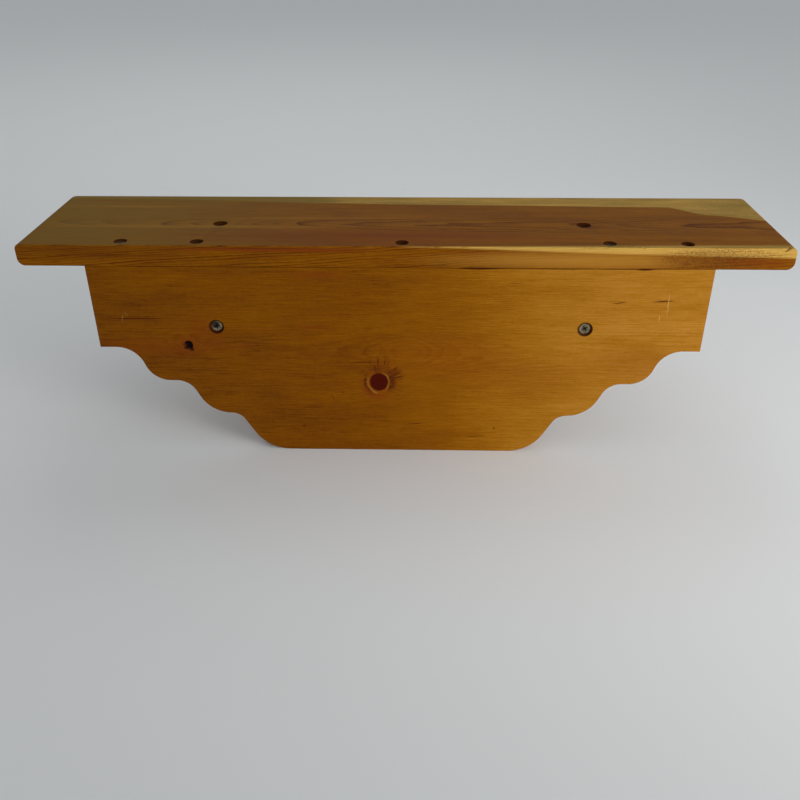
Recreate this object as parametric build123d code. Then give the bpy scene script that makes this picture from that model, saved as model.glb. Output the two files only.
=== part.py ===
from build123d import *
import math
import os

# Pine wall shelf: a shelf board screwed down on a scalloped back board and two brackets.
# Millimetres. +X is right for someone who faces the shelf, +Y goes into the wall, +Z is up.
# The origin is on the wall plane, below the middle of the shelf, halfway down the back board.

# Shelf board
shelf_length = 654.0
shelf_depth = 140.0
shelf_thick = 19.0
under_round = 6.35  # lower edge of the ends and the front
upper_round = 4.5  # upper edge of the ends and the front
corner_round = 6.6  # the two front corners, seen from above

# Back board
back_width = 533.0
back_height = 184.0
back_thick = 19.0
back_shift = 3.8  # the back board sits this far off the middle of the shelf
back_scallops = [  # from the side inwards: level run, run, drop, steepest slope, share of the cove
    (14.5, 44.4, 33.5, 71.0, 0.52),
    (5.6, 46.6, 34.0, 63.5, 0.38),
    (0.0, 52.8, 39.5, 59.5, 0.28),
]

# Brackets
bracket_thick = 19.0
bracket_lift = 66.0  # from the bottom of the back board to the foot of the bracket
bracket_setback = 19.0  # from the front edge of the shelf to the nose of the bracket
bracket_nose = 22.0  # height of the nose
bracket_foot = 12.0  # depth of the foot
bracket_spacing = 323.0  # centre to centre
bracket_shift = 1.9  # both brackets sit this far off the middle of the shelf
bracket_level = 3.0  # level run between the nose and the first scallop
bracket_slope = 66.0
bracket_cove = 0.45

edge_ease = 0.8  # sharp edges rubbed down by hand

# Flat-head wood screws
screw_length = 38.0
head_dia = 9.3
head_rim = 0.4
head_angle = 82.0
shank_dia = 4.8
plain_length = 14.0  # head and plain shank together
root_dia = 3.4
thread_pitch = 2.0
thread_form = (0.2, 0.6, 0.95)  # where the root starts and ends and the crest starts, in pitches
tip_length = 5.0
recess_span = 5.2
recess_width = 1.3
recess_depth = 2.6
recess_taper = 0.42  # size of the recess at its bottom, as a share of its size at the top

# Screw holes
counterbore_dia = 12.7  # of the screws into the brackets
row_bore_dia = 11.1  # of the screws along the rear edge
top_sink = 6.0  # counterbore depth above each bracket
rear_sink = 2.0  # counterbore depth in the rear face
shank_room = 0.3  # all round the plain shank
seat_room = 0.05  # under the head, and around the thread
tip_room = 1.0  # below the tip
past = 1.0  # how far a hole's cutter runs past the board

# Screw places
end_screw_inset = 27.5  # from the end of the back board, were it in the middle of the shelf
screw_pair_gap = 65.0
bracket_screw_forward = 37.4  # in front of the back board
rear_screw_drop = 56.0  # below the shelf board
row_seats = [  # along the rear edge from -X: counterbore depth, and how the head came to rest
    (3.0, 80.0),
    (2.0, 25.0),
    (3.5, 65.0),
    (3.0, 40.0),
    (2.0, 12.0),
]
top_turns = {"left": 15.0, "right": 50.0}
rear_turns = {"left": 29.0, "right": 0.0}

# Worked out from the sizes above
under_z = back_height / 2
top_z = under_z + shelf_thick
bracket_height = back_height - bracket_lift
bracket_reach = shelf_depth - back_thick - bracket_setback
sides = {"left": -1, "right": 1}


def scallop_line(start, scallops):
    """Run inwards from start. Each scallop is level, turns down in a cove and levels out in a bead."""
    point = Vector(*start)
    edges = []
    for level, run, drop, slope, cove_share in scallops:
        turn = math.radians(slope)
        straight = drop / math.tan(turn / 2) - run
        radii = (run - straight * math.cos(turn)) / math.sin(turn)
        cove = radii * cove_share
        downhill = Vector(-math.cos(turn), -math.sin(turn))
        if level > 0:
            edges.append(Line(point, point + Vector(-level, 0)))
            point = edges[-1] @ 1
        edges.append(JernArc(point, (-1, 0), cove, slope))
        edges.append(Line(edges[-1] @ 1, edges[-1] @ 1 + downhill * straight))
        edges.append(JernArc(edges[-1] @ 1, downhill, radii - cove, -slope))
        point = edges[-1] @ 1
    return edges, point


def wood_screw(turn):
    """A screw that points down, with the top of its head at the origin."""
    head_r = head_dia / 2
    shank_r = shank_dia / 2
    root_r = root_dia / 2
    cone = (head_r - shank_r) / math.tan(math.radians(head_angle / 2))
    profile = [(0, 0), (head_r, 0), (head_r, -head_rim)]
    profile += [(shank_r, -head_rim - cone), (shank_r, -plain_length)]
    thread_end = screw_length - tip_length
    root_start, root_end, crest_start = [share * thread_pitch for share in thread_form]
    for ridge in range(int((thread_end - plain_length) / thread_pitch)):
        z = -plain_length - ridge * thread_pitch
        profile += [(root_r, z - root_start), (root_r, z - root_end)]
        profile += [(shank_r, z - crest_start), (shank_r, z - thread_pitch)]
    profile += [(root_r, -thread_end), (0, -screw_length)]
    body = revolve(Plane.XZ * make_face(Polyline(*profile, close=True)), Axis.Z)
    for arm in (0, 90):
        wide = Rectangle(recess_span, recess_width)
        narrow = Rectangle(recess_span * recess_taper, recess_width * recess_taper)
        body -= Rot(0, 0, turn + arm) * loft([wide, Pos(0, 0, -recess_depth) * narrow])
    return body


def outer_hole(counterbore, sink, thick):
    """What a screw needs in the board under its head: counterbore, seat and shank hole."""
    head_r = head_dia / 2 + seat_room
    bore_r = shank_dia / 2 + shank_room
    rim_z = -sink - head_rim - seat_room
    cone = (head_r - bore_r) / math.tan(math.radians(head_angle / 2))
    profile = [(0, past), (counterbore / 2, past), (counterbore / 2, -sink), (head_r, -sink)]
    profile += [(head_r, rim_z), (bore_r, rim_z - cone), (bore_r, -thick - past), (0, -thick - past)]
    return revolve(Plane.XZ * make_face(Polyline(*profile, close=True)), Axis.Z)


def inner_hole(sink, thick):
    """What the same screw needs in the next board, which starts where the thick first one ends."""
    depth = sink + screw_length + tip_room - thick
    return Pos(0, 0, -thick - depth / 2) * Cylinder(shank_dia / 2 + seat_room, depth)


def ease_outline(board):
    """Rub down the edges all round the two flat faces that are square to Y."""
    faces = board.faces().sort_by(Axis.Y)
    return fillet(faces[0].edges() + faces[-1].edges(), edge_ease)


def make_shelf():
    """A plank with two rounded front corners. Its ends and front are rounded over, its rear isn't."""
    plan = Rectangle(shelf_length, shelf_depth)
    plan = fillet(plan.vertices().group_by(Axis.Y)[0], corner_round)
    board = extrude(Pos(0, -shelf_depth / 2, under_z) * plan, shelf_thick)
    for flat_side, radius in ((0, under_round), (-1, upper_round)):
        rear_edges = board.faces().sort_by(Axis.Y)[-1].edges()
        flat_edges = board.faces().sort_by(Axis.Z)[flat_side].edges()
        board = fillet([edge for edge in flat_edges if edge not in rear_edges], radius)
    return fillet(board.faces().sort_by(Axis.Y)[-1].edges(), edge_ease)


def make_back():
    """A board with three scallops down each side, drawn as one half and its mirror image."""
    side_x = back_width / 2
    side_bottom = sum(drop for level, run, drop, slope, share in back_scallops) - back_height
    scallops, foot = scallop_line((side_x, side_bottom), back_scallops)
    half = [Line((0, 0), (side_x, 0)), Line((side_x, 0), (side_x, side_bottom))]
    half += scallops + [Line(foot, (0, foot.Y)), Line((0, foot.Y), (0, 0))]
    face = make_face(half)
    board = extrude(Plane.XZ * (face + mirror(face, Plane.YZ)), back_thick)
    return ease_outline(Pos(back_shift, 0, under_z) * board)


def make_bracket():
    """A nose below the front of the shelf, then two equal scallops down to a foot on the back board."""
    run = (bracket_reach - bracket_level - bracket_foot) / 2
    drop = (bracket_height - bracket_nose) / 2
    levels = (bracket_level, 0)
    scallops = [(level, run, drop, bracket_slope, bracket_cove) for level in levels]
    edges, foot = scallop_line((bracket_reach, -bracket_nose), scallops)
    outline = [Line((0, 0), (bracket_reach, 0)), Line((bracket_reach, 0), (bracket_reach, -bracket_nose))]
    outline += edges + [Line(foot, (0, foot.Y)), Line((0, foot.Y), (0, 0))]
    board = extrude(Plane.XZ * make_face(outline), bracket_thick / 2, both=True)
    return Rot(0, 0, -90) * ease_outline(board)


def bracket_x(side):
    return bracket_shift + sides[side] * bracket_spacing / 2


# The nodes, by name. Each screw is added with the holes that it needs.
nodes = {"shelf_board": make_shelf(), "back_board": make_back()}
for side in sides:
    nodes[f"bracket_{side}"] = Pos(bracket_x(side), -back_thick, under_z) * make_bracket()


def fasten(name, place, counterbore, sink, outer, thick, inner, turn):
    """Screw the outer board, which is thick, on the inner one. The place is on the outer one's face."""
    nodes[outer] -= place * outer_hole(counterbore, sink, thick)
    nodes[inner] -= place * inner_hole(sink, thick)
    nodes[name] = place * Pos(0, 0, -sink) * wood_screw(turn)


row_end = back_width / 2 - end_screw_inset
row_inner = row_end - screw_pair_gap
row = [-row_end, -row_inner, 0, row_inner, row_end]
for number, (x, (sink, turn)) in enumerate(zip(row, row_seats), start=1):
    place = Pos(x, -back_thick / 2, top_z)
    name = f"shelf_screw_{number}"
    fasten(name, place, row_bore_dia, sink, "shelf_board", shelf_thick, "back_board", turn)

for side in sides:
    bracket = f"bracket_{side}"
    place = Pos(bracket_x(side), -back_thick - bracket_screw_forward, top_z)
    name = f"top_screw_{side}"
    fasten(name, place, counterbore_dia, top_sink, "shelf_board", shelf_thick, bracket, top_turns[side])
    place = Pos(bracket_x(side), 0, under_z - rear_screw_drop) * Rot(-90, 0, 0)
    name = f"rear_screw_{side}"
    fasten(name, place, counterbore_dia, rear_sink, "back_board", back_thick, bracket, rear_turns[side])

os.makedirs("parts", exist_ok=True)
for name, solid in nodes.items():
    solid.label = name
    export_step(solid, f"parts/{name}.step")
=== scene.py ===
import math

import bmesh
import bpy
import numpy as np
from mathutils import Matrix, Vector


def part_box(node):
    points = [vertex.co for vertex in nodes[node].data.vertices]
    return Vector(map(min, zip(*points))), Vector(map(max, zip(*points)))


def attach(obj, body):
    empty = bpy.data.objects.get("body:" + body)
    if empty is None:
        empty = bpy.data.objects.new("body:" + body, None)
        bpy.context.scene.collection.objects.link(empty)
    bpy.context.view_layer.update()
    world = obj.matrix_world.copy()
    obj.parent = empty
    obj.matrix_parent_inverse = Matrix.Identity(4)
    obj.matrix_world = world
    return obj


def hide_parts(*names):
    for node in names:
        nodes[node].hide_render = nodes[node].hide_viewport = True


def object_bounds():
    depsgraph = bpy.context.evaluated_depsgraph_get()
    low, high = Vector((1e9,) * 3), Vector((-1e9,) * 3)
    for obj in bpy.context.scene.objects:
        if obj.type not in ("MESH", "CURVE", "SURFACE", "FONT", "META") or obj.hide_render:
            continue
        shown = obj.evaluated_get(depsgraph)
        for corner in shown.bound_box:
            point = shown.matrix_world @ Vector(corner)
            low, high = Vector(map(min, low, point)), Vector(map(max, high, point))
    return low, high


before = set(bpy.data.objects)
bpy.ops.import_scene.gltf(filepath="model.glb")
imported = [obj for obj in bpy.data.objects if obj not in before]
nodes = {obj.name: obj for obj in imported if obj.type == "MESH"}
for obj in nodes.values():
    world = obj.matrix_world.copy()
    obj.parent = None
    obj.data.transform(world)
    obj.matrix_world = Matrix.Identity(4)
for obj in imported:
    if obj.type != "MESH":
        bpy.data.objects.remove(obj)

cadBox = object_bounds()
scene = bpy.context.scene
mm = 0.001
print("frame loaded:", len(nodes), "nodes")


class Wire:
    # one output socket of a material; sums and products of wires add the Math nodes they need
    def __init__(self, tree, socket=None):
        self.tree = tree
        self.socket = socket

    def node(self, kind, settings=None, values=None, out=0):
        # settings go on the node first, then numbers, colours or wires on its sockets
        made = self.tree.nodes.new("ShaderNode" + kind)
        for name, setting in (settings or {}).items():
            if name == "stops":
                fillRamp(made.color_ramp, setting)
            else:
                setattr(made, name, setting)
        for name, value in (values or {}).items():
            if isinstance(value, Wire):
                self.tree.links.new(value.socket, made.inputs[name])
            else:
                made.inputs[name].default_value = value
        return Wire(self.tree, made.outputs[out])

    def maths(self, operation, first, *others):
        return self.node("Math", {"operation": operation}, dict(enumerate((first,) + others)))

    def __add__(self, other):
        return self.maths("ADD", self, other)

    def __radd__(self, other):
        return self.maths("ADD", other, self)

    def __sub__(self, other):
        return self.maths("SUBTRACT", self, other)

    def __rsub__(self, other):
        return self.maths("SUBTRACT", other, self)

    def __mul__(self, other):
        return self.maths("MULTIPLY", self, other)

    def __rmul__(self, other):
        return self.maths("MULTIPLY", other, self)

    def __truediv__(self, other):
        return self.maths("DIVIDE", self, other)

    def __pow__(self, power):
        return self.maths("POWER", self, power)

    def __abs__(self):
        return self.maths("ABSOLUTE", self)

    def floor(self):
        return self.maths("FLOOR", self)

    def most(self, other):
        return self.maths("MAXIMUM", self, other)

    def least(self, other):
        return self.maths("MINIMUM", self, other)

    def rise(self, low, high):
        # 0 at low, 1 at high, smooth between; low may be above high
        settings = {"interpolation_type": "SMOOTHSTEP", "clamp": True}
        return self.node("MapRange", settings, {"Value": self, "From Min": low, "From Max": high})

    def times(self, factors):
        return self.node("VectorMath", {"operation": "MULTIPLY"}, {0: self, 1: factors})

    def plus(self, other):
        return self.node("VectorMath", {"operation": "ADD"}, {0: self, 1: other})

    def split(self):
        return [self.node("SeparateXYZ", None, {0: self}, out) for out in range(3)]

    def noise(self, size, detail, seed):
        # lumps of the given size along each axis, mostly from -1 to 1
        place = self.times([1 / length for length in size]).plus((seed, seed * 1.7, seed * 0.6))
        values = {"Vector": place, "Scale": 1.0, "Detail": detail}
        return (self.node("TexNoise", {"noise_dimensions": "3D"}, values) - 0.5) * 4.0

    def reach(self, at, size, turn=0.0):
        # distance from a place, as a share of an ellipsoid's half sizes; turned in the board's face
        values = {"Vector": self, "Location": at, "Rotation": (0, 0, math.radians(turn)), "Scale": size}
        local = self.node("Mapping", {"vector_type": "TEXTURE"}, values)
        return self.node("VectorMath", {"operation": "LENGTH"}, {0: local}, out=1)

    def blend(self, other, factor):
        # this colour turned into the other by a factor from 0 to 1
        return self.node("Mix", {"data_type": "RGBA"}, {0: factor, 6: self, 7: other}, out=2)


def fillRamp(ramp, stops):
    while len(ramp.elements) < len(stops):
        ramp.elements.new(1.0)
    for element, (place, colour) in zip(ramp.elements, stops):
        element.position = place
        element.color = colour


def newMaterial(name):
    material = bpy.data.materials.new(name)
    material.use_nodes = True
    shader = next(node for node in material.node_tree.nodes if node.type == "BSDF_PRINCIPLED")
    return material, shader, Wire(material.node_tree)


def feed(shader, sockets):
    for name, value in sockets.items():
        if isinstance(value, Wire):
            value.tree.links.new(value.socket, shader.inputs[name])
        else:
            shader.inputs[name].default_value = value


def dress(name, material):
    data = nodes[name].data
    data.materials.clear()
    data.materials.append(material)


def middle(name):
    low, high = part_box(name)
    return (low + high) / 2


# Every board is painted right through, in its own millimetres: u along the grain, v across its face,
# w into its thickness. Growth rings are circles about a pith line that runs along the board.
pine = {
    "stops": [  # from light early wood to dark late wood
        (0.0, (0.460, 0.202, 0.0300, 1)),
        (0.25, (0.360, 0.146, 0.0085, 1)),
        (0.5, (0.262, 0.090, 0.0012, 1)),
        (0.75, (0.190, 0.056, 0.0005, 1)),
        (1.0, (0.088, 0.020, 0.0003, 1)),
    ],
    "colours": {
        "sap": (0.64, 0.385, 0.085, 1),
        # painted shade and sheen of the upper face
        "topShadeAndSheen": (0.205, 0.128, 0.020, 1),
        "resin": (0.085, 0.016, 0.002, 1),
        "flush": (0.205, 0.040, 0.003, 1),
        "knot": (0.058, 0.0032, 0.0010, 1),
        # near black: painted shade for the inside of the open knot's pit and its tail; two small specks are
        # painted with it too
        "pit": (0.008, 0.0015, 0.001, 1),
        "pale": (0.50, 0.24, 0.035, 1),
        "scratch": (0.62, 0.40, 0.14, 1),
        # dark red-brown of the counterbores: partly a stain, partly painted shade
        "bore": (0.026, 0.0035, 0.001, 1),
    },
    "lumps": {  # size in millimetres along u, v and w, detail, and what is added to the board's seed
        "slow": ((260, 75, 75), 1.0, 0),
        "wave": ((70, 13, 13), 2.0, 3),
        "fine": ((9, 3.2, 3.2), 1.0, 5),
        "fibre": ((15, 0.42, 0.42), 2.0, 7),
        "thread": ((42, 1.2, 1.2), 2.0, 8),
        "canal": ((6, 0.36, 0.36), 0.0, 9),
        "fleck": ((3.4, 1.3, 1.3), 1.0, 10),
        "cloud": ((70, 19, 19), 2.0, 11),
        "speckle": ((1.3, 0.8, 0.8), 1.0, 12),
    },
    "darkening": {"fibre": 0.12, "thread": 0.075, "fleck": 0.045, "cloud": 0.10, "canal": 0.12},
    "sapBorder": 1.3,  # how far the change to sapwood takes
    "farAcross": 9000,  # makes an ellipsoid into a tube or a slice
    "knotDepth": 60,
    "wornAndLitEdge": 1.1,  # how wide an edge is painted paler, as rubbed wear and painted highlight
    "relief": 0.12,
    "specular": 0.03,
    "roughness": 0.44,
    "coat": 0.035,
    "coatRoughness": 0.32,
}


def growthRings(board, spot, lumps):
    # distance from a pith line, which bows away from the board's face and is nudged by knots
    u, v, w = spot.split()
    pith = board["pith"]
    far = pine["farAcross"]
    bow = spot.reach((pith["at"], 0, 0), (pith["length"], far, far))
    bow = bow * bow / (bow * bow + 1.0) * pith["bow"]
    side = v - pith["side"]
    below = w - pith["depth"] + bow
    plain = (side * side + below * below) ** 0.5
    radius = plain + u * pith["taper"] + lumps["slow"] * pith["sway"]
    radius = radius + lumps["wave"] * 0.5 + lumps["fine"] * 0.1
    for knot in board["knots"]:
        r = knot["radius"]
        swell = spot.reach(knot["at"], (r * 6, r * 3, pine["knotDepth"]))
        radius = radius + swell.rise(1.0, 0.0) * knot["push"]
    # each ring darkens slowly to its late wood and ends at once, some years more than others
    ring = radius / pith["gap"]
    year = ring.floor()
    phase = ring - year
    strength = spot.node("TexWhiteNoise", {"noise_dimensions": "1D"}, {"W": year})
    late = phase ** 2.6 * phase.rise(1.0, 0.94) * (0.3 + 0.7 * strength)
    return plain, late


def sapShare(board, spot, plain, late, lumps):
    # sapwood lies beyond the heartwood's radius, which changes along the board
    heart = board["heart"]
    border = plain - spot.split()[0] * heart["slope"] + lumps["wave"] * 0.3
    for turn in heart["turns"]:
        near = spot.reach(turn["at"], turn["size"]).rise(1.0, turn.get("full", 0.1))
        border = border + near * turn["push"]
    sap = border.rise(heart["radius"], heart["radius"] + pine["sapBorder"])
    sap = sap * (0.85 - late * 0.35 - lumps["fibre"] * 0.1 - lumps["thread"] * 0.08)
    return sap.most(0.0)


def paintMarks(colour, board, frayed, lumps):
    # marks are long or round patches with soft, frayed edges
    fibre = lumps["fibre"]
    speckle = (lumps["speckle"] + fibre * 0.3).rise(-0.6, 0.9)
    for mark in board["marks"]:
        share = frayed.reach(mark["at"], mark["size"], mark.get("turn", 0.0))
        mask = share.rise(1.0, mark.get("core", 0.2)) * mark["depth"] * (1.0 + fibre * 0.18)
        if mark.get("speckled"):
            mask = mask * speckle
        colour = colour.blend(pine["colours"][mark["colour"]], mask.least(1.0))
    return colour


def paintKnot(colour, knot, spot, frayed, lumps, seed):
    # a reddish halo, dark and pale crescents, rays, and a dark heart with faint rings and a resin rim
    r = knot["radius"]
    shades = pine["colours"]
    out = frayed.reach(knot["at"], (r, r * knot["squash"], pine["knotDepth"]))
    away = spot.plus([-distance for distance in knot["at"]])
    colour = colour.blend(shades["flush"], out.rise(2.6, 1.1) * knot["halo"])
    along, across = away.split()[:2]
    angle = spot.node("Math", {"operation": "ARCTAN2"}, {0: across, 1: along})
    spokes = spot.node("CombineXYZ", None, {0: angle * 11.0, 1: out * 0.4, 2: seed})
    rays = spokes.noise((1, 1, 1), 1.0, seed).rise(-0.1, 0.7)
    broken = (0.75 + lumps["wave"] * 0.25 + lumps["fine"] * 0.4).rise(0.0, 1.0)
    for turn, width, inner, outer, shade, depth, ray in knot["crescents"]:
        way = (math.cos(math.radians(turn)), math.sin(math.radians(turn)), 0)
        lobe = spot.node("VectorMath", {"operation": "DOT_PRODUCT"}, {0: away, 1: way}, out=1) / (out * r)
        band = out.rise(outer, (inner + outer) / 2) * out.rise(inner - 0.12, inner)
        mask = band * lobe.rise(width, min(1.0, width + 0.35)) * depth * broken
        colour = colour.blend(shades[shade], mask * rays if ray else mask)
    grain = spot.node("Math", {"operation": "SINE"}, {0: out * 17.0 + lumps["fine"]})
    heart = out.rise(1.04, 0.95) * (0.98 + grain * 0.02)
    colour = colour.blend(shades[knot["colour"]], heart.least(1.0))
    return colour.blend(shades["resin"], out.rise(1.04, 0.97) * out.rise(0.80, 0.97) * 0.55)


def pineMaterial(name, board):
    material, shader, start = newMaterial(name)
    order = board["axes"]
    seed = board["seed"]
    shades = pine["colours"]
    place = start.node("TexCoord", out=3).plus(-board["centre"]).times([1 / mm] * 3).split()
    u, v, w = [place[axis] for axis in order]
    spot = start.node("CombineXYZ", None, {0: u, 1: v, 2: w})
    lumps = {}
    for kind, (size, detail, more) in pine["lumps"].items():
        lumps[kind] = spot.noise(size, detail, seed + more)
    lumps["canal"] = lumps["canal"].rise(0.75, 1.15)
    wave, fine, fibre, cloud = [lumps[kind] for kind in ("wave", "fine", "fibre", "cloud")]
    facing = start.node("TexCoord", out=1).split()
    plain, late = growthRings(board, spot, lumps)

    # painted shade and sheen: the upper face is painted a darker, duller brown with a greyish haze, more so
    # towards one end
    dull = board["topShadeAndSheen"]
    topShadeAndSheen = 0.0
    if dull:
        uneven = wave * 0.15 + lumps["fleck"] * 0.06 - late * 0.4
        topShadeAndSheen = facing[order[2]].rise(0.6, 0.95) * dull["depth"]
        topShadeAndSheen = topShadeAndSheen * (dull["base"] + uneven + u.rise(*dull["span"]) * dull["more"])

    tone = board["tone"] + late * board["contrast"] + topShadeAndSheen * 0.1
    for kind, weight in pine["darkening"].items():
        tone = tone + lumps[kind] * weight
    # the board is painted paler towards one end; on the back board this is painted light, standing in for
    # the stronger light on one side
    if board["paler"]:
        tone = tone - u.rise(*board["paler"]["span"]) * board["paler"]["lift"]
    colour = start.node("ValToRGB", {"stops": pine["stops"]}, {0: tone})
    sap = 0.0
    if board["heart"]:
        sap = sapShare(board, spot, plain, late, lumps)
        colour = colour.blend(shades["sap"], sap)
    # the upper face's painted shade and sheen, stronger over the sapwood
    if dull:
        topShadeAndSheen = topShadeAndSheen + sap * topShadeAndSheen * dull["sap"]
        colour = colour.blend(shades["topShadeAndSheen"], topShadeAndSheen.least(1.0))

    frayed = spot.plus(start.node("CombineXYZ", None, {0: fine * 0.5, 1: wave * 0.3 + fibre * 0.15}))
    colour = paintMarks(colour, board, frayed, lumps)
    for knot in board["knots"]:
        colour = paintKnot(colour, knot, spot, frayed, lumps, seed)

    # screw holes are painted darker, from the rim of the counterbore inwards: partly a stain, partly painted
    # shade in the recess
    for bore, rimRadius in board["bores"]:
        rim = spot.reach(bore, (rimRadius, rimRadius, pine["farAcross"]))
        colour = colour.blend(shades["bore"], rim.rise(1.02, 0.9) * 0.9)

    # the cut ends drink more oil, and the edges are painted paler, partly as rubbed wear and partly as a
    # painted highlight along the eased edges
    ends = abs(facing[order[0]]).rise(0.45, 0.95)
    colour = colour.blend(shades["flush"], ends * (0.5 + fibre * 0.1 + late * 0.3))
    eased = start.node("Bevel", {"samples": 6}, {"Radius": pine["wornAndLitEdge"] * mm})
    flat = start.node("NewGeometry", out=1)
    turned = 1.0 - start.node("VectorMath", {"operation": "DOT_PRODUCT"}, {0: eased, 1: flat}, out=1)
    edgeWearAndHighlight = turned.rise(0.03, 0.22) * (0.42 + wave * 0.2 + fine * 0.15)
    colour = colour.blend(shades["pale"], edgeWearAndHighlight.rise(0.0, 1.0) * 0.55)

    relief = late * 0.4 - fibre * 0.5 - lumps["thread"] * 0.3 - lumps["canal"] * 0.6 + lumps["fleck"] * 0.25
    bump = start.node("Bump", None, {"Strength": 0.35, "Distance": pine["relief"] * mm, "Height": relief})
    feed(shader, {
        "Base Color": colour,
        "Roughness": pine["roughness"] + fibre * 0.03 + cloud * 0.03 + ends * 0.15 - edgeWearAndHighlight * 0.08,
        "Specular IOR Level": pine["specular"],
        "Coat Weight": pine["coat"] + cloud * 0.03 - ends * 0.05,
        "Coat Roughness": pine["coatRoughness"],
        "Normal": bump,
    })
    return material


def boreList(names, centre, order, rimRadius):
    # where the screws go through a board, in its own millimetres, and how far the stain round them goes
    places = [(middle(name) - centre) / mm for name in names]
    return [([place[axis] for axis in order], rimRadius) for place in places]


rowScrews = ["shelf_screw_%d" % number for number in range(1, 6)]
sides = ["left", "right"]

shelfCentre = middle("shelf_board")
face = (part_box("shelf_board")[1][2] - shelfCentre[2]) / mm  # half the thickness of both boards
shelfBoard = {
    "centre": shelfCentre,
    "axes": (0, 1, 2),
    "seed": 4.0,
    "tone": 0.60,
    "contrast": 0.62,
    "topShadeAndSheen": {  # how strongly its upper face is painted with shade and sheen, where along it that grows, and how far the sapwood adds
        "depth": 0.34,
        "base": 0.3,
        "span": (20, 300),
        "more": 1.5,
        "sap": 7.0,
    },
    "paler": None,
    "pith": {"at": 40, "length": 190, "bow": 6, "side": 13, "depth": -35.5, "sway": 2.2, "gap": 1.25,
             "taper": 0.032},
    "heart": {"radius": 72.2, "slope": 0.008, "turns": [
        {"at": (-400, -70, face), "size": (160, 150, 90), "full": 0.86, "push": 12},
        {"at": (-400, -70, face), "size": (150, 150, 90), "full": 0.3, "push": 16},
        {"at": (330, -70, face), "size": (330, 150, 60), "push": -12},
    ]},
    "knots": [],
    "marks": [
        # dark red streaks along the rear edge, paler wood beside the sapwood, stains near the end
        {"at": (108, 70, 6.0), "size": (120, 10, 2.8), "colour": "flush", "depth": 0.95},
        {"at": (120, 70, 7.2), "size": (70, 10, 1.2), "colour": "resin", "depth": 0.5},
        {"at": (230, 70, 0.5), "size": (75, 8, 1.6), "colour": "resin", "depth": 0.35},
        {"at": (-60, 70, 3.5), "size": (60, 10, 1.6), "colour": "flush", "depth": 0.5},
        {"at": (-150, 74, -2), "size": (175, 14, 12), "colour": "pale", "depth": 0.6},
        {"at": (-268, 70, 0.0), "size": (68, 8, 14), "core": 0.5, "colour": "resin", "depth": 0.6,
         "speckled": True},
        {"at": (-262, 70, -1), "size": (62, 8, 11), "colour": "resin", "depth": 0.38},
        {"at": (285, 70, 3), "size": (130, 10, 9), "colour": "resin", "depth": 0.3},
        {"at": (20, 46, face), "size": (230, 30, 4), "colour": "flush", "depth": 0.4},
        {"at": (-300, 70, -3), "size": (40, 8, 5), "colour": "flush", "depth": 0.45},
        {"at": (-319, 69, face), "size": (4.5, 1.3, 2), "turn": 45, "colour": "resin", "depth": 0.95},
        {"at": (-66, 70, -9.2), "size": (25, 3, 0.9), "colour": "resin", "depth": 0.9},
        {"at": (-204, 70, -9.2), "size": (10, 3, 0.9), "colour": "resin", "depth": 0.9},
        {"at": (-140, 70, -face), "size": (135, 3, 0.6), "colour": "resin", "depth": 0.9},
        {"at": (190, 22, face), "size": (190, 6, 4), "colour": "pale", "depth": 0.2},
        {"at": (90, -2, face), "size": (150, 3, 4), "colour": "pale", "depth": 0.16},
        {"at": (250, -34, face), "size": (90, 4, 4), "colour": "pale", "depth": 0.2},
        {"at": (60, 44, face), "size": (220, 9, 4), "colour": "resin", "depth": 0.18},
        {"at": (-160, 20, face), "size": (150, 5, 4), "colour": "resin", "depth": 0.14},
        {"at": (285, -52, face), "size": (28, 2.2, 4), "colour": "flush", "depth": 0.7},
    ],
    "bores": boreList(rowScrews, shelfCentre, (0, 1, 2), 6.0)
    + boreList(["top_screw_" + side for side in sides], shelfCentre, (0, 1, 2), 6.8),
}

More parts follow.
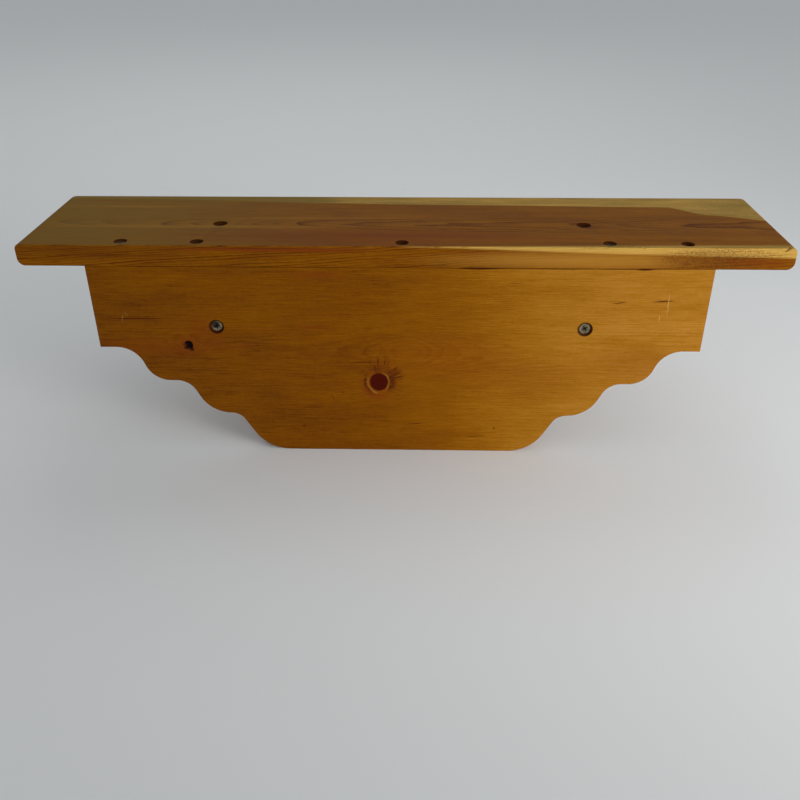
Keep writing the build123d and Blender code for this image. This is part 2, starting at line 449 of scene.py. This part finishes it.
backCentre = middle("back_board")
backBoard = {
    "centre": backCentre,
    "axes": (0, 2, 1),
    "seed": 9.0,
    "tone": 0.70,
    "contrast": 0.19,
    "topShadeAndSheen": None,
    "paler": {"span": (60, -190), "lift": 0.53},  # painted light: paler towards one end, standing in for the stronger light that falls on that side
    "pith": {"at": -8, "length": 30, "bow": 6, "side": 12.6, "depth": -22, "sway": 1.8, "gap": 1.35,
             "taper": 0.0},
    "heart": None,
    "knots": [
        {"at": (17.2, -18.2, face), "radius": 8.3, "squash": 1.1, "push": 8, "halo": 0.35, "colour": "knot",
         "crescents": [  # direction, cosine of its half width, from, to, colour, depth, rays
             (-20, 0.1, 1.0, 1.3, "flush", 0.6, False),
             (-28, 0.5, 1.22, 1.4, "pale", 0.42, False),
             (-12, 0.5, 1.36, 1.8, "resin", 1.0, False),
             (-62, 0.6, 1.5, 2.3, "flush", 0.7, False),
             (140, 0.15, 1.02, 2.2, "resin", 0.6, False),
             (145, 0.1, 1.2, 3.1, "resin", 0.9, True),
             (168, 0.4, 1.06, 1.26, "pale", 0.38, False),
             (-174, 0.65, 1.22, 1.75, "resin", 1.0, False),
             (50, 0.3, 1.5, 2.6, "resin", 0.6, True),
         ]},
        # the open knot: painted near black as the shade inside its carved pit
        {"at": (187.0, 17.6, face), "radius": 4.4, "squash": 1.08, "push": 4, "halo": 0.5, "colour": "pit",
         "crescents": []},
    ],
    "marks": [
        # broad reddish and darker clouds, two of them painted shade
        {"at": (215, 16, face), "size": (80, 13, 14), "colour": "flush", "depth": 0.42},
        {"at": (168, 30, face), "size": (26, 20, 14), "turn": 40, "colour": "flush", "depth": 0.4},
        {"at": (137, 17.8, face), "size": (12, 4, 10), "colour": "flush", "depth": 0.45},
        {"at": (66.7, 85.0, face), "size": (34, 5, 6), "colour": "flush", "depth": 0.5},
        {"at": (150, 86.0, face), "size": (60, 4, 6), "colour": "resin", "depth": 0.16},
        {"at": (-40, 6, face), "size": (90, 34, 20), "colour": "flush", "depth": 0.32},
        # these two clouds are painted shade, darker where less light falls towards the scalloped edge
        {"at": (-120, -12, face), "size": (75, 34, 20), "colour": "flush", "depth": 0.22},
        {"at": (-215, 2, face), "size": (75, 26, 20), "colour": "flush", "depth": 0.28},
        # dark streaks of resin along the grain
        {"at": (231, 43.4, face), "size": (36, 1.1, 3), "turn": -0.6, "colour": "resin", "depth": 1.1},
        {"at": (27.6, 2.0, face), "size": (22, 0.8, 3), "turn": 0.7, "colour": "resin", "depth": 0.9},
        {"at": (74, 36.0, face), "size": (24, 0.9, 3), "turn": 0.8, "colour": "flush", "depth": 1.1},
        {"at": (120, 33.0, face), "size": (16, 0.7, 3), "turn": 0.5, "colour": "flush", "depth": 0.7},
        {"at": (-17, -62.0, face), "size": (17, 0.8, 3), "turn": -5, "colour": "resin", "depth": 0.8},
        {"at": (-72.7, -75.5, face), "size": (15, 0.7, 3), "turn": -6, "colour": "resin", "depth": 0.75},
        {"at": (-227, 63.0, face), "size": (13, 1.1, 3), "turn": -3, "colour": "resin", "depth": 1.0},
        {"at": (-191, 61.4, face), "size": (9, 0.8, 3), "turn": -8, "colour": "resin", "depth": 0.8},
        {"at": (-100, 79.0, face), "size": (12, 0.6, 3), "turn": 2, "colour": "resin", "depth": 0.6},
        # specks, worm-like dashes and the tail of the open knot
        {"at": (88.6, -65.9, face), "size": (1.3, 1.1, 2), "colour": "pit", "depth": 0.9},
        {"at": (-89.2, -66.4, face), "size": (1.2, 1.1, 2), "colour": "pit", "depth": 1.0},
        {"at": (59.6, -34.9, face), "size": (4.5, 0.8, 2), "turn": 62, "colour": "resin", "depth": 0.7},
        {"at": (51.0, -29.5, face), "size": (3.2, 0.7, 2), "turn": 50, "colour": "resin", "depth": 0.6},
        # the pit's tail, painted near black as the shade in its carved hollow
        {"at": (185.4, 14.9, face), "size": (4.2, 3.3, 9), "turn": 62, "core": 0.7, "colour": "pit",
         "depth": 1.2},
        {"at": (191.4, 17.6, face), "size": (2.2, 0.8, 9), "colour": "pit", "depth": 1.0},
        # scratches across the grain and the dark gaps under the shelf board
        {"at": (-231.9, 59.8, face), "size": (0.6, 15, 1), "turn": -2.5, "colour": "scratch", "depth": 0.55},
        {"at": (-226.0, 47.0, face), "size": (0.6, 5, 1), "turn": -5, "colour": "scratch", "depth": 0.45},
        {"at": (241.5, 43.8, face), "size": (0.6, 6, 1), "turn": 14, "colour": "scratch", "depth": 0.24},
        {"at": (238.0, 47.8, face), "size": (0.6, 3, 1), "turn": -30, "colour": "scratch", "depth": 0.2},
        {"at": (-140, 92, face), "size": (130, 0.7, 3), "colour": "resin", "depth": 0.9},
        {"at": (-69.8, 91.6, face), "size": (26, 1.0, 3), "colour": "resin", "depth": 1.1},
        {"at": (-207.6, 91.6, face), "size": (10, 1.0, 3), "colour": "resin", "depth": 1.1},
    ],
    "bores": boreList(["rear_screw_" + side for side in sides], backCentre, (0, 2, 1), 7.0),
}

boardPaint = {
    "shelf_board": pineMaterial("shelfPine", shelfBoard),
    "back_board": pineMaterial("backPine", backBoard),
}
for number, side in enumerate(sides):
    bracketCentre = middle("bracket_" + side)
    bracketBoard = {
        "centre": bracketCentre,
        "axes": (2, 1, 0),
        "seed": 17.0 + 6 * number,
        "tone": 0.5,
        "contrast": 0.26,
        "topShadeAndSheen": None,
        "paler": {"span": (60, -60), "lift": 0.1},
        "pith": {"at": 20, "length": 80, "bow": 8, "side": -22 + 30 * number, "depth": -30, "sway": 2.4,
                 "gap": 2.0, "taper": 0.02},
        "heart": None,
        "knots": [],
        "marks": [],
        "bores": [],
    }
    boardPaint["bracket_" + side] = pineMaterial("bracketPine" + side.title(), bracketBoard)
for name, material in boardPaint.items():
    dress(name, material)
print("boards dressed")


# Places are in millimetres of the shelf's own frame, half sizes along the three axes, turned about Y.
wear = {
    "rows": 14,  # of the carving balls
    "columns": 22,
    "lumps": 0.09,
    "pit": [  # the open knot with its tail and a small spur
        {"at": (190.8, 0.4, 17.6), "size": (4.2, 3.6, 4.6), "turn": 20},
        {"at": (189.3, 0.3, 14.8), "size": (2.6, 2.4, 3.6), "turn": 30},
        {"at": (195.0, 0.2, 17.5), "size": (1.9, 1.0, 0.8), "turn": 0},
    ],
    "gaps": [  # where the shelf board doesn't quite meet the back board
        {"at": (-66, 0.0, 92), "size": (25, 4.0, 0.42), "turn": 0.2},
        {"at": (-204, 0.0, 92), "size": (10, 3.0, 0.45), "turn": -0.5},
        {"at": (120, 0.0, 92), "size": (60, 2.0, 0.16), "turn": 0.0},
    ],
    "notch": [{"at": (-319.5, -0.6, 110.8), "size": (4.2, 2.2, 1.2), "turn": 35}],
    "dingSeed": 12,
    "dingCount": 16,  # along each long edge, and along each scalloped outline
    "dingLength": (1.0, 4.0),
    "dingDepth": (0.35, 0.75),
    "dingStretch": (2.2, 1.0, 2.0),  # of a dent on an outline, as shares of its depth
    "endRoom": 8,  # no dent's middle is nearer to the end of an edge
    "rearIn": (0.2, 0.2),  # how far in from the rear face and down from the top the rear edge's dents are
    "frontIn": (1.2, 1.2),
    "outlineDrop": 60,  # the outline's dents stay this far below the top of the shelf
    "boreRoom": 20,
    "seam": 0.002,  # points nearer than this are one
    "smoothAngle": 28,
}


def ballPoints(ball, rng):
    # a ball whose radius swells and shrinks with sines of its two angles, then stretched and turned
    down, around = np.meshgrid(
        np.linspace(0, np.pi, wear["rows"] + 2)[1:-1],
        np.linspace(0, 2 * np.pi, wear["columns"], endpoint=False),
        indexing="ij",
    )
    shifts = rng.uniform(0, 2 * np.pi, 3)
    swell = np.sin(3 * around + shifts[0]) * np.sin(down) + np.sin(2 * around + shifts[1]) * np.sin(down)
    radius = 1 + wear["lumps"] * (swell + 0.6 * np.sin(3 * down + shifts[2]) * np.sin(down))
    flat = [np.sin(down) * np.cos(around), np.sin(down) * np.sin(around), np.cos(down)]
    points = np.stack(flat, axis=-1) * radius[..., None]
    points = np.vstack([[[0, 0, 1]], points.reshape(-1, 3), [[0, 0, -1]]]) * np.array(ball["size"])
    turn = math.radians(ball["turn"])
    spin = np.array([[math.cos(turn), 0, math.sin(turn)], [0, 1, 0], [-math.sin(turn), 0, math.cos(turn)]])
    return (points @ spin.T + np.array(ball["at"])) * mm


def ballFaces(first):
    # rings of quads between two poles, counted from the ball's first point
    rows, columns = wear["rows"], wear["columns"]
    step = np.arange(columns)
    near = first + 1 + step
    following = first + 1 + (step + 1) % columns
    faces = [(first, a, b) for a, b in zip(near, following)]
    for row in range(rows - 1):
        upper = row * columns
        lower = upper + columns
        faces += list(zip(near + upper, near + lower, following + lower, following + upper))
    last = first + 1 + rows * columns
    shift = (rows - 1) * columns
    return faces + [(last, b, a) for a, b in zip(near + shift, following + shift)]


def makeCutter(balls, rng):
    points = []
    faces = []
    for ball in balls:
        faces += ballFaces(sum(len(part) for part in points))
        points.append(ballPoints(ball, rng))
    mesh = bpy.data.meshes.new("cutter")
    mesh.from_pydata(np.vstack(points).tolist(), [], [tuple(map(int, face)) for face in faces])
    cutter = bpy.data.objects.new("cutter", mesh)
    scene.collection.objects.link(cutter)
    return cutter


def mergedCopy(name, title):
    # the CAD mesh is loose triangles, so its copy is joined up first
    mesh = nodes[name].data.copy()
    work = bmesh.new()
    work.from_mesh(mesh)
    bmesh.ops.remove_doubles(work, verts=work.verts, dist=wear["seam"] * mm)
    work.to_mesh(mesh)
    work.free()
    piece = bpy.data.objects.new(title, mesh)
    scene.collection.objects.link(piece)
    return piece


def dingsAlong(start, end, rng):
    # small dents at uneven places along a straight edge
    count = wear["dingCount"]
    share = rng.uniform(0.01, 0.99, count)[:, None]
    places = np.array(start) * (1 - share) + np.array(end) * share
    lengths = rng.uniform(*wear["dingLength"], count)
    depths = rng.uniform(*wear["dingDepth"], count)
    return [
        {"at": tuple(place), "size": (length, depth, depth), "turn": 0.0}
        for place, length, depth in zip(places, lengths, depths)
    ]


def dingsOnOutline(name, face, rng):
    # the same on the curved part of an outline, at points of the board's flat face that are on no bore
    points = np.array([vertex.co for vertex in nodes[name].data.vertices]) / mm
    points = points[np.abs(points[:, 1] - face) < 0.01]
    points = points[points[:, 2] < cadBox[1][2] / mm - wear["outlineDrop"]]
    for side in sides:
        bore = np.array(middle("rear_screw_" + side)) / mm
        points = points[np.hypot(points[:, 0] - bore[0], points[:, 2] - bore[2]) > wear["boreRoom"]]
    chosen = points[rng.choice(len(points), wear["dingCount"], replace=False)]
    depths = rng.uniform(*wear["dingDepth"], wear["dingCount"])
    return [
        {"at": tuple(place), "size": [depth * stretch for stretch in wear["dingStretch"]], "turn": 0.0}
        for place, depth in zip(chosen, depths)
    ]


def carve(name, title, balls, rng):
    # a copy of a board with the balls taken out of it stands in for the board
    piece = mergedCopy(name, title)
    cutter = makeCutter(balls, rng)
    cut = piece.modifiers.new("carve", "BOOLEAN")
    cut.operation = "DIFFERENCE"
    cut.solver = "EXACT"
    cut.use_self = True
    cut.object = cutter
    graph = bpy.context.evaluated_depsgraph_get()
    carved = bpy.data.meshes.new_from_object(piece.evaluated_get(graph))
    piece.modifiers.clear()
    piece.data = carved
    bpy.data.objects.remove(cutter)
    # the cut leaves hairline seams, which are joined and closed
    work = bmesh.new()
    work.from_mesh(carved)
    bmesh.ops.remove_doubles(work, verts=work.verts, dist=wear["seam"] * mm)
    bmesh.ops.dissolve_degenerate(work, edges=work.edges, dist=wear["seam"] * mm)
    bmesh.ops.holes_fill(work, edges=[edge for edge in work.edges if edge.is_boundary], sides=0)
    work.to_mesh(carved)
    work.free()
    carved.materials.clear()
    carved.materials.append(boardPaint[name])
    carved.shade_smooth()
    carved.set_sharp_from_angle(angle=math.radians(wear["smoothAngle"]))
    even = piece.modifiers.new("evenNormals", "WEIGHTED_NORMAL")
    even.keep_sharp = True
    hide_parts(name)
    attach(piece, "root")
    print(title, "carved:", len(carved.polygons), "faces")


def edgeEnds(low, high, inward, back, down):
    # two ends of an upper edge of the box, moved in from its corners
    y = high[1] - back if inward < 0 else low[1] + back
    z = high[2] - down
    return (low[0] + wear["endRoom"], y, z), (high[0] - wear["endRoom"], y, z)


def carveBoards():
    rng = np.random.default_rng(wear["dingSeed"])
    low, high = [np.array(corner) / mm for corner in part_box("shelf_board")]
    dings = dingsAlong(*edgeEnds(low, high, -1, *wear["rearIn"]), rng)
    dings += dingsAlong(*edgeEnds(low, high, 1, *wear["frontIn"]), rng)
    carve("shelf_board", "worn_shelf_board", wear["gaps"] + wear["notch"] + dings, rng)
    low, high = [np.array(corner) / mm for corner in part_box("back_board")]
    dings = dingsOnOutline("back_board", high[1], rng) + dingsOnOutline("back_board", low[1], rng)
    carve("back_board", "worn_back_board", wear["gaps"] + wear["pit"] + dings, rng)


carveBoards()


steel = {
    "bright": (0.34, 0.29, 0.18, 1),
    "dull": (0.125, 0.098, 0.062, 1),
    # near black: painted shade in the cross recess and under the head, and the old finish lying on the heads
    "grimeAndShade": (0.014, 0.009, 0.006, 1),
    "roughness": 0.36,
    "specular": 0.2,
    "bloomSize": 2.2,  # of the clouds in the zinc, in millimetres
    "gritSize": 0.5,
    "dirt": {  # how thick the old finish lies on a head, how far off its middle, and how wide
        "rear_screw_right": (1.0, (1.1, 0, 1.1), 3.9),
        "rear_screw_left": (0.4, (0, 0, 0), 3.4),
    },
    "otherDirt": (0.8, (0, 0, 0), 7.0),
    "seed": 3.0,
}


def steelMaterial(name, top, inward, seed, dirt):
    # depth is measured from the top of the head, along the screw
    material, shader, start = newMaterial(name)
    place = start.node("TexCoord", out=3).plus(-top).times([1 / mm] * 3)
    depth = start.node("VectorMath", {"operation": "DOT_PRODUCT"}, {0: place, 1: inward}, out=1)
    share, off, dirtSpan = dirt
    span = start.node("VectorMath", {"operation": "DISTANCE"}, {0: place, 1: off}, out=1)
    bloom = place.noise([steel["bloomSize"]] * 3, 3.0, seed)
    grit = place.noise([steel["gritSize"]] * 3, 2.0, seed + 2)
    shades = {0: bloom.rise(-0.7, 0.9), 6: steel["bright"], 7: steel["dull"]}
    colour = start.node("Mix", {"data_type": "RGBA"}, shades, out=2)
    # painted shade and dirt: near black below the top of the head, as shade in the cross recess and under
    # it, and where old finish lies on the head
    grimeAndShade = depth.rise(0.12, 0.9).most((span + bloom * 0.4).rise(dirtSpan, dirtSpan * 0.7) * share)
    colour = colour.blend(steel["grimeAndShade"], (grimeAndShade * 0.95 + grit.rise(0.5, 1.3) * 0.3).least(1.0))
    bump = start.node("Bump", None, {"Strength": 0.3, "Distance": 0.05 * mm, "Height": grit + bloom})
    feed(shader, {
        "Base Color": colour,
        "Metallic": 1.0 - grimeAndShade,
        "Specular IOR Level": steel["specular"],
        "Roughness": steel["roughness"] + bloom * 0.06 + grimeAndShade * 0.35,
        "Normal": bump,
    })
    return material


# the screws and the axis that each points down
screws = [(name, 2) for name in rowScrews]
screws += [("top_screw_" + side, 2) for side in sides]
screws += [("rear_screw_" + side, 1) for side in sides]
for number, (name, axis) in enumerate(screws):
    top = middle(name)
    top[axis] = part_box(name)[1][axis]
    inward = Vector((0, 0, 0))
    inward[axis] = -1
    dirt = steel["dirt"].get(name, steel["otherDirt"])
    dress(name, steelMaterial("steel_" + name, top, inward, steel["seed"] + number, dirt))
print("screws dressed")


studio = {
    "floorHalf": 60.0,
    "floorColour": (0.82, 0.83, 0.83, 1),
    "floorRoughness": 0.85,
    "floorSpecular": 0.2,
    "sky": {
        "colour": (0.94, 0.975, 1.0, 1),
        "strength": 0.405,
        "brightSide": (-0.61, 0.71, 0.35),
        "swing": 0.6,  # how much more light comes from there
    },
    "lamps": [  # name, place, aim, size, spread in degrees, power, colour
        ("keyLamp", (-1.25, 0.9, 0.4), (-0.45, 0, 0.02), 0.8, 66, 2.75, (1.0, 0.985, 0.96)),
        ("fillLamp", (0.2, -1.5, 2.0), (0, 0, 0), 1.6, 180, 6.5, (1.0, 0.99, 0.98)),
    ],
}


def makeFloor():
    half = studio["floorHalf"]
    z = cadBox[0][2]
    mesh = bpy.data.meshes.new("floor")
    corners = [(-half, -half, z), (half, -half, z), (half, half, z), (-half, half, z)]
    mesh.from_pydata(corners, [], [(0, 1, 2, 3)])
    floor = bpy.data.objects.new("floor", mesh)
    scene.collection.objects.link(floor)
    material, shader = newMaterial("floorPaint")[:2]
    feed(shader, {
        "Base Color": studio["floorColour"],
        "Roughness": studio["floorRoughness"],
        "Specular IOR Level": studio["floorSpecular"],
    })
    mesh.materials.append(material)


def makeLight():
    world = bpy.data.worlds.new("studio")
    world.use_nodes = True
    sky = studio["sky"]
    start = Wire(world.node_tree)
    pair = {0: start.node("TexCoord"), 1: sky["brightSide"]}
    facing = start.node("VectorMath", {"operation": "DOT_PRODUCT"}, pair, out=1)
    background = world.node_tree.nodes["Background"]
    feed(background, {"Color": sky["colour"], "Strength": (facing * sky["swing"] + 1.0) * sky["strength"]})
    scene.world = world
    for name, place, aim, size, spread, power, colour in studio["lamps"]:
        lamp = bpy.data.lights.new(name, "AREA")
        lamp.shape = "DISK"
        lamp.size = size
        lamp.spread = math.radians(spread)
        lamp.energy = power
        lamp.color = colour
        hang(name, lamp, Vector(place), Vector(aim))
    scene.view_settings.view_transform = "Standard"


def hang(name, lamp, place, aim):
    holder = bpy.data.objects.new(name, lamp)
    holder.matrix_world = lookFrom(place, (aim - place).normalized(), Vector((0, 0, 1)))
    scene.collection.objects.link(holder)


def lookFrom(place, forward, up):
    # the pose of a camera or lamp, which looks along its own -Z
    right = forward.cross(up).normalized()
    top = right.cross(forward)
    turned = Matrix((right, top, -forward)).transposed().to_4x4()
    turned.translation = place
    return turned


camera = {
    "place": (-0.0166, 0.6798, 0.3611),
    "lens": 38.58,
    "sensor": 36.0,
    "pitch": 30.34,  # degrees down
    "yaw": 1.57,  # degrees off straight at the wall face
    "roll": -0.24,
}


def makeCamera():
    pitch, yaw, roll = [math.radians(camera[name]) for name in ("pitch", "yaw", "roll")]
    forward = Vector((math.sin(yaw) * math.cos(pitch), -math.cos(yaw) * math.cos(pitch), -math.sin(pitch)))
    data = bpy.data.cameras.new("camera")
    data.lens = camera["lens"]
    data.sensor_width = camera["sensor"]
    eye = bpy.data.objects.new("camera", data)
    eye.matrix_world = lookFrom(Vector(camera["place"]), forward, Vector((0, 0, 1)))
    eye.matrix_world = eye.matrix_world @ Matrix.Rotation(roll, 4, "Z")
    scene.collection.objects.link(eye)
    scene.camera = eye


makeFloor()
makeLight()
makeCamera()
print("studio ready")
